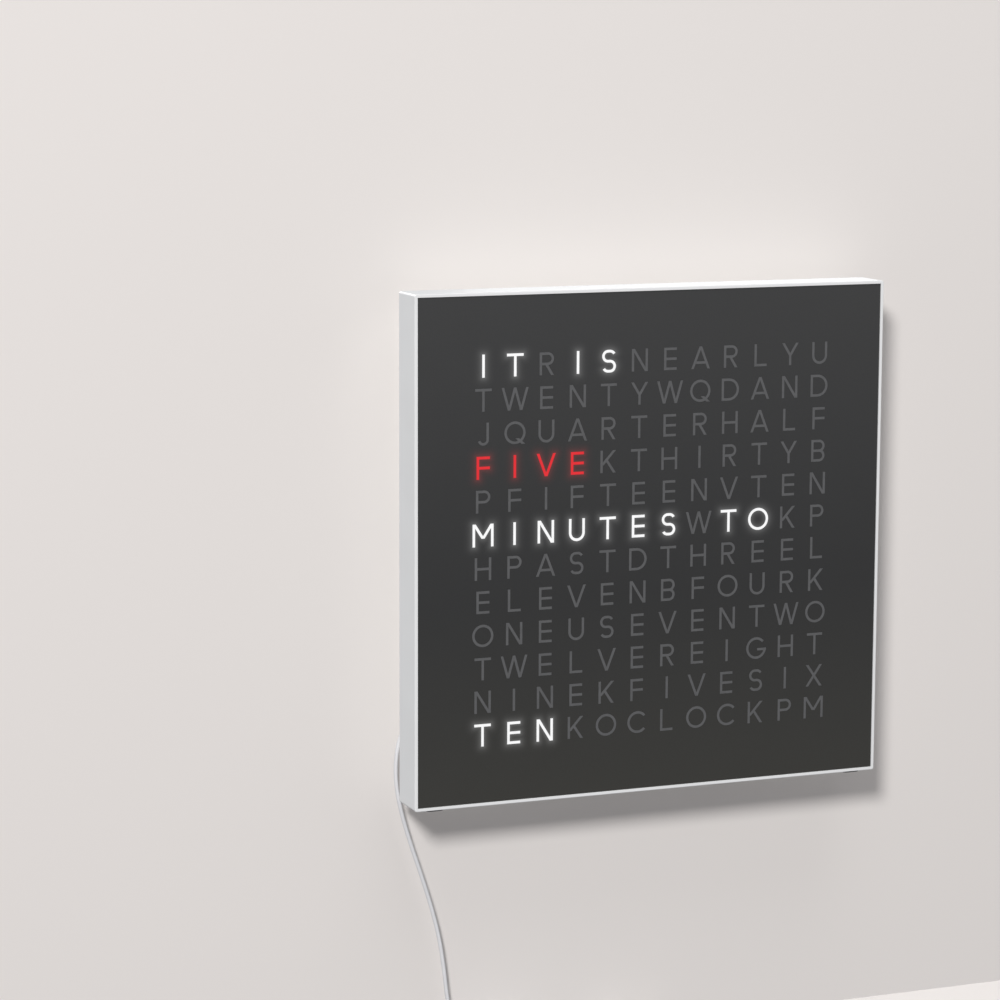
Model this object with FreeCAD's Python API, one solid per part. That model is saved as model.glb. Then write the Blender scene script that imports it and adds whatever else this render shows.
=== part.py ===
import FreeCAD, Part
import math
import os

V = FreeCAD.Vector

# A wall clock that spells the time out. Its square white casing holds a dark face with a grid of
# letters cut through it, and a light behind each letter. Sizes are in millimetres.
# The wall is the plane y = 0, the face looks to -y, x is to the right of the face and z is up.
# The origin is the middle of the face that lies on the wall.

# Letter grid: whole words of the time, with filler letters between them
LETTER_ROWS = [
    "ITRISNEARLYU",
    "TWENTYWQDAND",
    "JQUARTERHALF",
    "FIVEKTHIRTYB",
    "PFIFTEENVTEN",
    "MINUTESWTOKP",
    "HPASTDTHREEL",
    "ELEVENBFOURK",
    "ONEUSEVENTWO",
    "TWELVEREIGHT",
    "NINEKFIVESIX",
    "TENKOCLOCKPM",
]
# Lit words: row, first column and number of letters, all counted from 0 at the top left
WHITE_WORDS = [(0, 0, 2), (0, 3, 2), (5, 0, 7), (5, 8, 2), (11, 0, 3)]
RED_WORDS = [(3, 0, 4)]
pitch = 16.6
cap = 11.3
stroke = 1.4
letter_gap = 0.05
rows = len(LETTER_ROWS)
columns = len(LETTER_ROWS[0])

# Casing: four thin walls, an inner flange that carries the face, and posts for the screws
border = 27.4
casing_depth = 22.0
wall_gap = 14.0
wall = 1.6
corner_r = 1.2
edge_r = 0.4
fit_gap = 0.2
flange_t = 1.6
flange_margin = 6.8
post_r = 3.5
post_inset = 4.8
web_t = 1.2
width = columns * pitch + 2 * border
height = rows * pitch + 2 * border
inner_w = width - 2 * wall
inner_h = height - 2 * wall

# Layers from the front to the back
face_recess = 0.4
face_t = 2.0
tape_t = 0.3
diffuser_t = 0.8
baffle_depth = 10.0
baffle_wall = 1.2
baffle_rim = 2.0
peg_r = 1.3
peg_length = 1.4
ear = 7.0
board_t = 1.6
board_margin = 8.1
y_rim = -(wall_gap + casing_depth)
y_face = y_rim + face_recess
y_face_back = y_face + face_t
y_flange = y_face_back + tape_t
y_flange_back = y_flange + flange_t
y_diffuser_back = y_face_back + diffuser_t
y_lights = y_diffuser_back + baffle_depth
y_lights_back = y_lights + board_t
baffle_w = columns * pitch + 2 * baffle_rim
baffle_h = rows * pitch + 2 * baffle_rim
opening_w = baffle_w + 2 * flange_margin
opening_h = baffle_h + 2 * flange_margin
lights_board_w = opening_w + 2 * board_margin
lights_board_h = opening_h + 2 * board_margin
board_post_in = 3.6
board_post_r = 2.8
board_post_share = 0.52

# Lights and what drives them
led_size = 5.0
led_h = 1.6
led_cup_r = 2.1
led_cup_depth = 0.5
driver_length = 10.2
driver_width = 5.3
driver_h = 1.75
driver_pitch = 1.27
driver_pins = 8
driver_spacing = 46.0
driver_low_z = 13.8
driver_row_spacing = 41.4
standoff = 0.1
driver_leg_reach = 1.2
driver_leg_w = 0.45
driver_leg_h = 0.9
driver_rows = 2
driver_columns = 3

# Screws
cover_screw_r = 1.5
cover_screw_length = 11.0
cover_head_r = 2.8
cover_head_t = 1.4
board_screw_r = 1.1
board_screw_length = 6.5
board_head_r = 2.1
board_head_t = 1.5
thread_gap = 0.05
bore_extra = 1.0
slot_w = 0.6
slot_depth = 0.7
slot_reach_share = 0.6
head_round_share = 1 / 3

# Rear cover: a flat plate with a raised bay, whose outer face lies on the wall
cover_t = 2.0
cover_gap = 0.25
bay_side_margin = 52.0
bay_end_margin = 27.0
bay_wall = 2.0
bay_r = 8.0
bay_edge_r = 1.2
bay_w = width - 2 * bay_side_margin
bay_h = height - 2 * bay_end_margin
bay_in_w = bay_w - 2 * bay_wall
bay_in_h = bay_h - 2 * bay_wall
y_cover = -wall_gap
y_cover_in = y_cover - cover_t
y_bay_in = -bay_wall
label_w = 60.0
label_h = 34.0
label_depth = 0.3
label_up = 24.0
label_r = 2.0

# Keyhole that the clock hangs by, and the cup behind it that keeps the screw's head off the inside
key_entry_r = 4.5
key_slot_r = 2.3
key_rise = 10.0
key_from_top = 24.0
cup_w = 14.0
cup_h = 26.0
cup_depth = 5.2
cup_wall = 1.4

# Buttons: hour, minute and dimmer, side by side in a shallow recess
BUTTONS = ["hour", "minute", "dimmer"]
button_r = 4.4
button_spacing = 20.0
button_gap = 0.15
button_travel = 0.5
button_rise = 0.8
button_dish_r = 16.0
button_dish_depth = 0.35
button_edge_r = 0.5
button_recess = 1.2
button_recess_margin = 7.0
button_rim = 1.2
button_rim_t = 1.2
button_play = 0.2
buttons_x = -8.0
buttons_z = 22.0
plunger_r = 1.7
plunger_gap = 0.08
plunger_rise = 0.8
plunger_sunk = 1.5
plunger_room = 0.4
switch_size = 6.0
switch_h = 3.5
switch_edge_r = 0.4
mark_cap = 4.2
mark_stroke = 0.7
mark_t = 0.25
mark_up = 7.6
mark_rays = 8
sun_r = 1.0
ray_start = 1.45
ray_end = 2.1
ray_w = 0.35

# Control board, held by posts inside the bay
ctrl_gap = 1.2
ctrl_right_gap = 7.0
ctrl_h = 46.0
ctrl_post_r = 3.0
post_edge_gap = 1.0
post_door_gap = 1.6
post_cell_gap = 6.0
post_bore_extra = 0.5
y_recess = -button_recess
y_button_rim = y_recess - bay_wall - button_play
y_plunger = y_button_rim - button_rim_t
y_switch = y_plunger - plunger_rise
y_ctrl_back = y_switch - switch_h
y_ctrl = y_ctrl_back - board_t
ctrl_x0 = -bay_in_w / 2 + ctrl_gap
ctrl_x1 = bay_in_w / 2 - ctrl_right_gap
ctrl_z0 = -bay_in_h / 2 + ctrl_gap
ctrl_z1 = ctrl_z0 + ctrl_h
ctrl_mid_x = (ctrl_x0 + ctrl_x1) / 2
ctrl_mid_z = (ctrl_z0 + ctrl_z1) / 2

# What the control board carries
chip_x = ctrl_mid_x + 12.0
chip_z = ctrl_mid_z - 4.0
chip_size = 9.0
chip_h = 1.4
chip_legs = 8
chip_leg_pitch = 0.8
chip_leg_reach = 1.1
chip_leg_w = 0.35
chip_leg_h = 0.5
crystal_x = chip_x + 14.0
crystal_z = chip_z + 2.0
crystal_half = 3.0
crystal_r = 2.2
crystal_h = 3.5
can_count = 3
can_x = ctrl_x0 + 22.0
can_z = ctrl_mid_z - 8.0
can_spacing = 11.0
can_r = 3.15
can_h = 7.0
can_edge_r = 0.5
can_base = 6.6
can_base_t = 0.8

# Ribbon cable between the two boards
ribbon_w = 12.0
ribbon_t = 0.9
ribbon_x = ctrl_mid_x - 8.0
ribbon_play = 0.2
ribbon_lead = 8.0
ribbon_bend_r = 2.0
header_w = 15.0
header_l = 6.0
header_h = 4.4
header_wall = 1.4
header_mouth = 2.0
header_upper_z = ctrl_z1 + 30.0
header_lower_z = ctrl_z1 - 8.0

# Battery: a coin cell that keeps the time, under a door that slides off sideways
cell_r = 10.0
cell_t = 3.2
cell_from_side = 28.0
holder_wall = 1.2
holder_gap = 0.2
holder_base = 0.8
contact_t = 0.3
contact_r = 6.0
holder_rise = 1.92
holder_slot = 6.4
cell_edge_r = 0.4
clip_w = 5.0
clip_gap = 0.4
door_length = 47.0
door_h = 26.0
door_gap = 0.2
door_up = 22.8
door_z = ctrl_z0 + door_up
tongue_w = 1.2
tongue_t = 1.2
rail_t = 1.0
grip_count = 5
grip_w = 1.0
grip_spacing = 2.2
grip_length = 12.0
grip_depth = 0.4
grip_inset = 6.0
grip_r = 0.45
bay_x1 = bay_w / 2
door_x0 = bay_x1 - door_length
cell_x = bay_x1 - cell_from_side

# Power jack on the left side of the bay, and the plug of the lead in it
jack_up = 13.0
jack_z = ctrl_z0 + jack_up
jack_length = 11.0
jack_w = 9.0
jack_h = 6.3
jack_nose_r = 2.9
jack_nose_gap = 0.2
jack_bore_gap = 0.06
jack_bore_depth = 9.0
jack_pin_r = 0.6
jack_nose_sunk = 0.2
jack_pin_sunk = 0.6
tip_r = 1.75
tip_bore_r = 0.72
tip_length = 8.4
y_jack = y_ctrl_back + jack_h / 2
bay_x0 = -bay_w / 2
bay_in_x0 = -bay_in_w / 2
plug_gap = 0.4
plug_r = 3.8
plug_length = 15.6
plug_edge_r = 0.8
plug_rings = 3
plug_ring_start = 5.46
plug_ring_spacing = 2.34
plug_ring_w = 0.9
relief_r = 2.5
relief_end_r = 1.45
relief_length = 12.0
relief_rings = 4
relief_groove = 0.35
relief_ring_w = 0.72
relief_first = 0.2
relief_spread = 0.6

# Feet for standing the clock on a shelf
foot_w = 9.2
foot_l = 17.0
foot_t = 1.0
foot_inset = 7.0
foot_r = 2.0

# Cord: it leaves the plug behind the left edge, swings out past it and hangs down to a tied coil
cord_r = 1.0
z_floor = -262.0
exit_x = bay_x0 - plug_gap - plug_length - relief_length
cord_y = -4.8
coil_layers = 4
coil_layer_quarters = 17
coil_pitch = 2.5
coil_mean_r = 12.0
tie_t = 0.9
tie_gap = 0.35
tie_w = 6.0
tie_r = 2.0
coil_out_r = coil_mean_r + coil_layer_quarters / 4 * coil_pitch / 2
coil_in_r = coil_mean_r - coil_layer_quarters / 4 * coil_pitch / 2
coil_x = -68.0
coil_y = cord_y - coil_out_r
coil_z = z_floor + tie_t + tie_gap + cord_r
coil_top_z = coil_z + (coil_layers - 1) * coil_pitch
coil_lead = 2 * cord_r
arc_share = 0.45
gap_sample_step = 1.5

# Plug at the far end of the cord
usb_body_l = 20.0
usb_body_w = 15.8
usb_body_h = 8.2
usb_shell_l = 12.0
usb_shell_w = 12.0
usb_shell_h = 4.5
usb_shell_t = 0.3
usb_window = 2.2
usb_tongue_t = 1.8
usb_contact_w = 1.0
usb_contact_pitch = 2.2
usb_contact_t = 0.15
usb_contacts = 4
usb_body_r = 2.0
usb_shell_r = 0.5
usb_window_x = 5.04
usb_window_y = 2.88
usb_tongue_short = 0.3
usb_contact_short = 1.5
usb_relief_l = 12.0
usb_relief_r = 2.8
usb_y = -13.0
usb_z = z_floor + usb_body_h / 2
usb_x = -28.0

# The cord's route from the strain relief to the coil, and from the coil to the far plug
HANGING_ROUTE = [
    V(exit_x, y_jack, jack_z),
    V(-112.5, y_jack, jack_z - 0.6),
    V(-119.6, -5.6, -88.6),
    V(-124.0, -5.4, -96.8),
    V(-125.8, -5.2, -107.8),
    V(-125.6, -5.1, -120.4),
    V(-122.8, -5.0, -134.6),
    V(-118.0, -5.0, -150.6),
    V(-112.2, -5.0, -167.4),
    V(-106.8, -4.9, -184.2),
    V(-102.4, -4.9, -201.0),
    V(-99.8, -4.9, -217.6),
    V(-98.2, -4.8, -232.6),
    V(-95.6, -4.8, -244.6),
    V(-90.4, -4.8, -253.6),
    V(-82.4, cord_y, coil_z + 1.0),
    V(coil_x - coil_lead - 5.0, cord_y, coil_z),
    V(coil_x - coil_lead, cord_y, coil_z),
]
TAIL_ROUTE = [
    V(coil_x + coil_lead, cord_y, coil_top_z),
    V(coil_x + 9.0, cord_y - 0.1, coil_top_z - 0.2),
    V(coil_x + 17.0, cord_y - 2.2, coil_top_z - 2.2),
    V(coil_x + 25.0, usb_y + 2.4, usb_z + 1.6),
    V(coil_x + 33.0, usb_y, usb_z),
    V(usb_x, usb_y, usb_z),
]


def save(node, solids):
    """Writes one node's solids to its file."""
    shape = solids[0] if len(solids) == 1 else Part.makeCompound(solids)
    if not shape.isValid():
        print("not valid:", node)
    shape.exportStep("parts/" + node + ".step")
    print(node, len(shape.Solids), "solids", round(shape.Volume, 1), "mm3")


def box(x0, x1, y0, y1, z0, z1):
    return Part.makeBox(x1 - x0, y1 - y0, z1 - z0, V(x0, y0, z0))


def rod(x, z, radius, y0, y1):
    """Round bar along y."""
    return Part.makeCylinder(radius, y1 - y0, V(x, y0, z), V(0, 1, 0))


def rod_x(y, z, radius, x0, x1):
    """Round bar along x."""
    return Part.makeCylinder(radius, x1 - x0, V(x0, y, z), V(1, 0, 0))


def edges_along(shape, axis):
    """Straight edges of a shape that run along an axis."""
    found = []
    for edge in shape.Edges:
        if isinstance(edge.Curve, Part.Line):
            if abs(abs(edge.tangentAt(edge.FirstParameter).dot(axis)) - 1) < 1e-6:
                found.append(edge)
    return found


def block(x, z, w, h, y0, y1, radius=0.0):
    """Block centred on (x, z), with its four edges along y rounded."""
    made = box(x - w / 2, x + w / 2, y0, y1, z - h / 2, z + h / 2)
    if radius > 0:
        made = made.makeFillet(radius, edges_along(made, V(0, 1, 0)))
    return made


def edges_at(shape, y):
    """Edges of a shape that lie in the plane of one y."""
    return [e for e in shape.Edges if abs(e.BoundBox.YMin - y) < 1e-4 and abs(e.BoundBox.YMax - y) < 1e-4]


def joined(solids):
    return solids[0].multiFuse(solids[1:]).removeSplitter()


def frame_points(dx, dz, share):
    """Four corners and the places beside the middles of the sides, mirrored about both axes."""
    corners = [(sx * dx, sz * dz) for sx in (-1, 1) for sz in (-1, 1)]
    sides = [(sx * dx, sz * dz * share) for sx in (-1, 1) for sz in (-1, 1)]
    ends = [(sx * dx * share, sz * dz) for sx in (-1, 1) for sz in (-1, 1)]
    return corners, sides + ends


# Strokes of the letters, drawn in the plane y = 0
def bar(x0, z0, x1, z1):
    """Upright or level stroke between two opposite corners."""
    return Part.Face(Part.makePolygon([V(x0, 0, z0), V(x1, 0, z0), V(x1, 0, z1), V(x0, 0, z1), V(x0, 0, z0)]))


def slant(x0, z0, x1, z1, s):
    """Sloping stroke of width s with level ends, along the line between two points."""
    if z1 < z0:
        x0, z0, x1, z1 = x1, z1, x0, z0
    half = s / 2 * math.hypot(x1 - x0, z1 - z0) / (z1 - z0)
    corners = [V(x0 - half, 0, z0), V(x0 + half, 0, z0), V(x1 + half, 0, z1), V(x1 - half, 0, z1)]
    return Part.Face(Part.makePolygon(corners + corners[:1]))


def bow(x, z, radius, s, start, end):
    """Round stroke of width s and outer radius, between two angles in degrees."""
    def at(r, degrees):
        return V(x + r * math.cos(math.radians(degrees)), 0, z + r * math.sin(math.radians(degrees)))

    middle = (start + end) / 2
    inner = radius - s
    edges = [
        Part.Arc(at(radius, start), at(radius, middle), at(radius, end)).toShape(),
        Part.makeLine(at(radius, end), at(inner, end)),
        Part.Arc(at(inner, end), at(inner, middle), at(inner, start)).toShape(),
        Part.makeLine(at(inner, start), at(radius, start)),
    ]
    return Part.Face(Part.Wire(edges))


def letter_strokes(letter, c, s):
    """A letter's width and strokes, from its lower left corner, for a cap height c and a stroke s."""
    narrow, middle, broad = 0.62 * c, 0.78 * c, 0.98 * c
    foot = 0.56 * s
    half = c / 2
    small = (c + s) / 4
    bowl = 0.285 * c
    spread = 0.1 * c
    if letter == "A":
        w = 0.93 * c
        bar_z = 0.22 * c
        reach = foot + (w / 2 - foot) * bar_z / c
        legs = [slant(foot, 0, w / 2, c, s), slant(w - foot, 0, w / 2, c, s)]
        return w, legs + [bar(reach, bar_z, w - reach, bar_z + s)]
    if letter == "B":
        w = 0.68 * c
        stem = w - small
        bars = [bar(0, z, stem, z + s) for z in (0, (c - s) / 2, c - s)]
        bowls = [bow(stem, z, small, s, -90, 90) for z in (small, c - small)]
        return w, [bar(0, 0, s, c)] + bars + bowls
    if letter == "C":
        return half + half * math.cos(math.radians(40)), [bow(half, half, half, s, 40, 320)]
    if letter == "D":
        w = 0.86 * c
        bars = [bar(0, 0, w - half, s), bar(0, c - s, w - half, c)] if w > half else []
        return w, [bar(0, 0, s, c)] + bars + [bow(w - half, half, half, s, -90, 90)]
    if letter == "E":
        return narrow, [bar(0, 0, s, c)] + [bar(0, z, narrow, z + s) for z in (0, (c - s) / 2, c - s)]
    if letter == "F":
        return narrow, [bar(0, 0, s, c)] + [bar(0, z, narrow, z + s) for z in ((c - s) / 2, c - s)]
    if letter == "G":
        return c, [bow(half, half, half, s, 40, 360), bar(half * 1.1, half - s, c, half)]
    if letter == "H":
        legs = [bar(0, 0, s, c), bar(middle - s, 0, middle, c)]
        return middle, legs + [bar(0, (c - s) / 2, middle, (c + s) / 2)]
    if letter == "I":
        return s, [bar(0, 0, s, c)]
    if letter == "J":
        w = 0.52 * c
        return w, [bar(w - s, w / 2, w, c), bow(w / 2, w / 2, w / 2, s, 195, 360)]
    if letter == "K":
        w = 0.76 * c
        lean = 0.66 * s
        arm = slant(lean, 0.34 * c, w - lean, c, s)
        return w, [bar(0, 0, s, c), arm, slant(0.38 * w, 0.58 * c, w - lean, 0, s)]
    if letter == "L":
        return narrow, [bar(0, 0, s, c), bar(0, 0, narrow, s)]
    if letter == "M":
        point = 0.36 * c
        legs = [bar(0, 0, s, c), bar(broad - s, 0, broad, c)]
        return broad, legs + [slant(x, c, broad / 2, point, s) for x in (0.62 * s, broad - 0.62 * s)]
    if letter == "N":
        lean = 0.62 * s
        legs = [bar(0, 0, s, c), bar(middle - s, 0, middle, c)]
        return middle, legs + [slant(lean, c, middle - lean, 0, s)]
    if letter in "OQ":
        ring = [bow(half, half, half, s, 0, 180), bow(half, half, half, s, 180, 360)]
        return c, ring + ([slant(0.6 * c, 0.26 * c, 0.9 * c, 0, s)] if letter == "Q" else [])
    if letter in "PR":
        w = 0.68 * c
        stem = w - bowl
        low = c - 2 * bowl
        leg = [slant(0.46 * w, low + s / 2, w - foot, 0, s)] if letter == "R" else []
        bars = [bar(0, 0, s, c), bar(0, c - s, stem, c), bar(0, low, stem, low + s)]
        return w, bars + [bow(stem, c - bowl, bowl, s, -90, 90)] + leg
    if letter == "S":
        w = 2 * small + spread
        right = small + spread
        level = [bar(small, z, right, z + s) for z in (0, (c - s) / 2, c - s)]
        upper = [bow(small, c - small, small, s, 90, 270), bow(right, c - small, small, s, 28, 90)]
        lower = [bow(right, small, small, s, -90, 90), bow(small, small, small, s, 208, 270)]
        return w, level + upper + lower
    if letter == "T":
        return middle, [bar(0, c - s, middle, c), bar((middle - s) / 2, 0, (middle + s) / 2, c)]
    if letter == "U":
        w = 0.76 * c
        return w, [bar(0, w / 2, s, c), bar(w - s, w / 2, w, c), bow(w / 2, w / 2, w / 2, s, 180, 360)]
    if letter == "V":
        w = 0.91 * c
        return w, [slant(foot, c, w / 2, 0, s), slant(w - foot, c, w / 2, 0, s)]
    if letter == "W":
        w = 1.28 * c
        xs = [foot, 0.28 * w, w / 2, 0.72 * w, w - foot]
        return w, [slant(xs[i], c * (1 - i % 2), xs[i + 1], c * (i % 2), s) for i in range(4)]
    if letter == "X":
        w = 0.84 * c
        lean = 0.6 * s
        return w, [slant(lean, 0, w - lean, c, s), slant(w - lean, 0, lean, c, s)]
    if letter == "Y":
        w = 0.84 * c
        lean = 0.6 * s
        fork = 0.44 * c
        arms = [slant(x, c, w / 2, fork, s) for x in (lean, w - lean)]
        return w, arms + [bar((w - s) / 2, 0, (w + s) / 2, fork + s / 2)]
    raise ValueError("no strokes for the letter " + letter)


def letter_face(letter, c, s):
    """Flat outline of a letter, centred on the origin, as one face."""
    w, strokes = letter_strokes(letter, c, s)
    face = joined(strokes).Faces[0] if len(strokes) > 1 else strokes[0]
    face.translate(V(-w / 2, 0, -c / 2))
    return face


def holed_face(wires):
    """Face inside the outermost wire, with a hole at each of the others."""
    return Part.makeFace(Part.makeCompound(wires), "Part::FaceMakerBullseye").Faces[0]


def inset(wire, gap):
    """A flat wire drawn again at a gap inside, or outside where the gap is negative."""
    if len(wire.Edges) == 1:
        circle = wire.Edges[0].Curve
        return Part.Wire(Part.makeCircle(circle.Radius - gap, circle.Center, circle.Axis))
    return wire.makeOffset2D(-gap).Wires[0]


def insert_face(face):
    """Outline of the piece that fills a letter's opening, with a small gap all round."""
    holes = [w for w in face.Wires if not w.isSame(face.OuterWire)]
    made = Part.Face(inset(face.OuterWire, letter_gap))
    for hole in holes:
        made = made.cut(Part.Face(inset(hole, -letter_gap)))
    return made.Faces[0]


def cell_place(row, column, y):
    """Middle of a letter's place in the grid."""
    return V((column - (columns - 1) / 2) * pitch, y, ((rows - 1) / 2 - row) * pitch)


def word_cells(words):
    return {(row, first + i) for row, first, count in words for i in range(count)}


def grid_cells():
    return [(row, column) for row in range(rows) for column in range(columns)]


def moved(shape, place):
    copy = shape.copy()
    copy.translate(place)
    return copy


def face_and_letters():
    """The dark face with its letter openings, the middles of closed letters, and the letters."""
    names = sorted(set("".join(LETTER_ROWS)))
    faces = {name: letter_face(name, cap, stroke) for name in names}
    inserts = {name: insert_face(faces[name]) for name in names}
    white, red = word_cells(WHITE_WORDS), word_cells(RED_WORDS)
    thick = V(0, face_t, 0)
    wires = []
    groups = {"letter_centres": [], "letters_unlit": [], "letters_white": [], "letters_red": []}
    for row, column in grid_cells():
        name = LETTER_ROWS[row][column]
        place = cell_place(row, column, y_face)
        wires.append(moved(faces[name].OuterWire, place))
        for wire in faces[name].Wires:
            if not wire.isSame(faces[name].OuterWire):
                groups["letter_centres"].append(moved(Part.Face(wire), place).extrude(thick))
        kind = "white" if (row, column) in white else "red" if (row, column) in red else "unlit"
        groups["letters_" + kind].append(moved(inserts[name], place).extrude(thick))
    w = inner_w / 2 - fit_gap
    h = inner_h / 2 - fit_gap
    corners = [V(-w, y_face, -h), V(w, y_face, -h), V(w, y_face, h), V(-w, y_face, h)]
    outline = Part.makePolygon(corners + corners[:1])
    panel = holed_face([outline] + wires).extrude(thick)
    open_area = sum(abs(Part.Face(w).Area) for w in wires)
    plan = (4 * w * h - open_area) * face_t
    print("face panel volume against its plan:", round(abs(panel.Volume) / plan, 4))
    save("face_panel", [panel])
    for node, solids in groups.items():
        save(node, solids)


def casing():
    """Four walls with a flange inside the front, posts for the screws and ribs out to the walls."""
    shell = block(0, 0, width, height, y_rim, y_cover, corner_r)
    shell = shell.makeFillet(edge_r, edges_at(shell, y_rim) + edges_at(shell, y_cover))
    shell = shell.cut(block(0, 0, inner_w, inner_h, y_rim, y_cover))
    flange = block(0, 0, inner_w, inner_h, y_flange, y_flange_back)
    flange = flange.cut(block(0, 0, opening_w, opening_h, y_flange, y_flange_back, corner_r))
    pieces = [shell, flange]
    bores = []
    y0, y1 = y_flange_back, y_cover_in
    half = web_t / 2
    for x, z in cover_screw_places():
        pieces.append(rod(x, z, post_r, y0, y1))
        bores.append(rod(x, z, cover_screw_r + thread_gap, y_cover - cover_screw_length - bore_extra, y1))
        if abs(x) > opening_w / 2:
            side = math.copysign(inner_w / 2, x)
            pieces.append(box(min(x, side), max(x, side), y0, y1, z - half, z + half))
        if abs(z) > opening_h / 2:
            side = math.copysign(inner_h / 2, z)
            pieces.append(box(x - half, x + half, y0, y1, min(z, side), max(z, side)))
    for x, z in board_screw_places():
        pieces.append(rod(x, z, board_post_r, y_flange_back, y_lights))
        bores.append(rod(x, z, board_screw_r + thread_gap, y_flange_back, y_lights))
    made = joined(pieces)
    for bore in bores:
        made = made.cut(bore)
    save("casing", [made])


def cover_screw_places():
    """Corners and side middles of the casing."""
    dx = inner_w / 2 - post_inset
    dz = inner_h / 2 - post_inset
    corners, _ = frame_points(dx, dz, 0)
    return corners + [(-dx, 0), (dx, 0), (0, -dz), (0, dz)]


def board_screw_places():
    """Two places on each side of the lights board, over the flange."""
    half_w, half_h = lights_board_w / 2 - board_post_in, lights_board_h / 2 - board_post_in
    _, sides = frame_points(half_w, half_h, board_post_share)
    return sides


def layers():
    """What lies between the face and the electronics: tape, diffuser, baffle and the lights' board."""
    gap = 2 * fit_gap
    tape = block(0, 0, inner_w - gap, inner_h - gap, y_face_back, y_flange)
    save("face_tape", [tape.cut(block(0, 0, opening_w + gap, opening_h + gap, y_face_back, y_flange))])
    save("diffuser", [block(0, 0, opening_w - gap, opening_h - gap, y_face_back, y_diffuser_back, corner_r)])
    hole = pitch - baffle_wall
    wires = []
    for row, column in grid_cells():
        p = cell_place(row, column, y_diffuser_back)
        q = hole / 2
        corners = [p + V(-q, 0, -q), p + V(q, 0, -q), p + V(q, 0, q), p + V(-q, 0, q)]
        wires.append(Part.makePolygon(corners + corners[:1]))
    around = ((-1, -1), (1, -1), (1, 1), (-1, 1))
    corners = [V(sx * baffle_w / 2, y_diffuser_back, sz * baffle_h / 2) for sx, sz in around]
    grid = holed_face([Part.makePolygon(corners + corners[:1])] + wires).extrude(V(0, baffle_depth, 0))
    pieces = [grid]
    board = block(0, 0, lights_board_w, lights_board_h, y_lights, y_lights_back, corner_r)
    for x, z in peg_places():
        sx, sz = math.copysign(1, x), math.copysign(1, z)
        pieces.append(block(x - sx * ear / 4, z - sz * ear / 4, ear, ear, y_lights - ear, y_lights, peg_r))
        pieces.append(rod(x, z, peg_r, y_lights, y_lights + peg_length))
        board = board.cut(rod(x, z, peg_r + fit_gap, y_lights, y_lights_back))
    cells_w, cells_h = columns * pitch - baffle_wall, rows * pitch - baffle_wall
    corner_cells = block(0, 0, cells_w, cells_h, y_diffuser_back, y_lights)
    pieces[1:] = [p.cut(corner_cells) for p in pieces[1:]]
    save("light_baffle", [joined(pieces)])
    for x, z in board_screw_places():
        board = board.cut(rod(x, z, board_screw_r + fit_gap, y_lights, y_lights_back))
    save("lights_board", [board])
    lights = []
    for row, column in grid_cells():
        p = cell_place(row, column, y_lights)
        body = block(p.x, p.z, led_size, led_size, y_lights - led_h, y_lights)
        lights.append(body.cut(rod(p.x, p.z, led_cup_r, y_lights - led_h, y_lights - led_h + led_cup_depth)))
    save("light_packages", lights)
    save("lights_board_screws", [pan_screw(x, z, y_lights_back, -1) for x, z in board_screw_places()])


def peg_places():
    """Corners of the baffle, on ears that stand out past its rim."""
    corners, _ = frame_points(baffle_w / 2 + ear / 4, baffle_h / 2 + ear / 4, 0)
    return corners


def pan_screw(x, z, y, way):
    """Small screw whose head sits on the plane y, with its shank along y in the direction way."""
    head_y = y if way < 0 else y - board_head_t
    head = rod(x, z, board_head_r, head_y, head_y + board_head_t)
    rim_y = head_y + (board_head_t if way < 0 else 0)
    head = head.makeFillet(board_head_t * head_round_share, edges_at(head, rim_y))
    shank_y = y - board_screw_length if way < 0 else y
    shank = rod(x, z, board_screw_r, shank_y, shank_y + board_screw_length)
    cut_y = rim_y - slot_depth if way < 0 else rim_y
    return joined([head, shank]).cut(cross(x, z, board_head_r * slot_reach_share, cut_y))


def cross(x, z, reach, y0):
    """Cross-shaped driver slot."""
    first = block(x, z, 2 * reach, slot_w, y0, y0 + slot_depth)
    return first.fuse(block(x, z, slot_w, 2 * reach, y0, y0 + slot_depth))


def cover_screws():
    """Countersunk screws, flush with the cover."""
    made = []
    for x, z in cover_screw_places():
        place = V(x, y_cover - cover_head_t, z)
        head = Part.makeCone(cover_screw_r, cover_head_r, cover_head_t, place, V(0, 1, 0))
        shank = rod(x, z, cover_screw_r, y_cover - cover_screw_length, y_cover - cover_head_t)
        driver_cut = cross(x, z, cover_head_r * slot_reach_share, y_cover - slot_depth)
        made.append(joined([head, shank]).cut(driver_cut))
    save("cover_screws", made)


def slot_outline(x0, x1, z, radius, y0, y1):
    """Stadium along x between two centres."""
    middle = block((x0 + x1) / 2, z, x1 - x0, 2 * radius, y0, y1)
    return joined([middle, rod(x0, z, radius, y0, y1), rod(x1, z, radius, y0, y1)])


def button_places():
    """Centres of the buttons, as they stand on the back."""
    z = ctrl_z0 + buttons_z
    return [(buttons_x + (1 - i) * button_spacing, z) for i in range(len(BUTTONS))]


def ctrl_post_places():
    """Posts for the control board, clear of the jack, the buttons and the battery door."""
    near = door_h / 2 + tongue_w + rail_t + ctrl_post_r + post_door_gap
    right = cell_x + cell_r + post_cell_gap
    left = ctrl_x0 + ctrl_post_r + post_edge_gap
    low = jack_z - jack_w / 2 - ctrl_post_r - post_edge_gap
    high = ctrl_z1 - ctrl_post_r - post_edge_gap
    return [(left, low), (left, high), (right, door_z - near), (right, door_z + near)]


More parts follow.
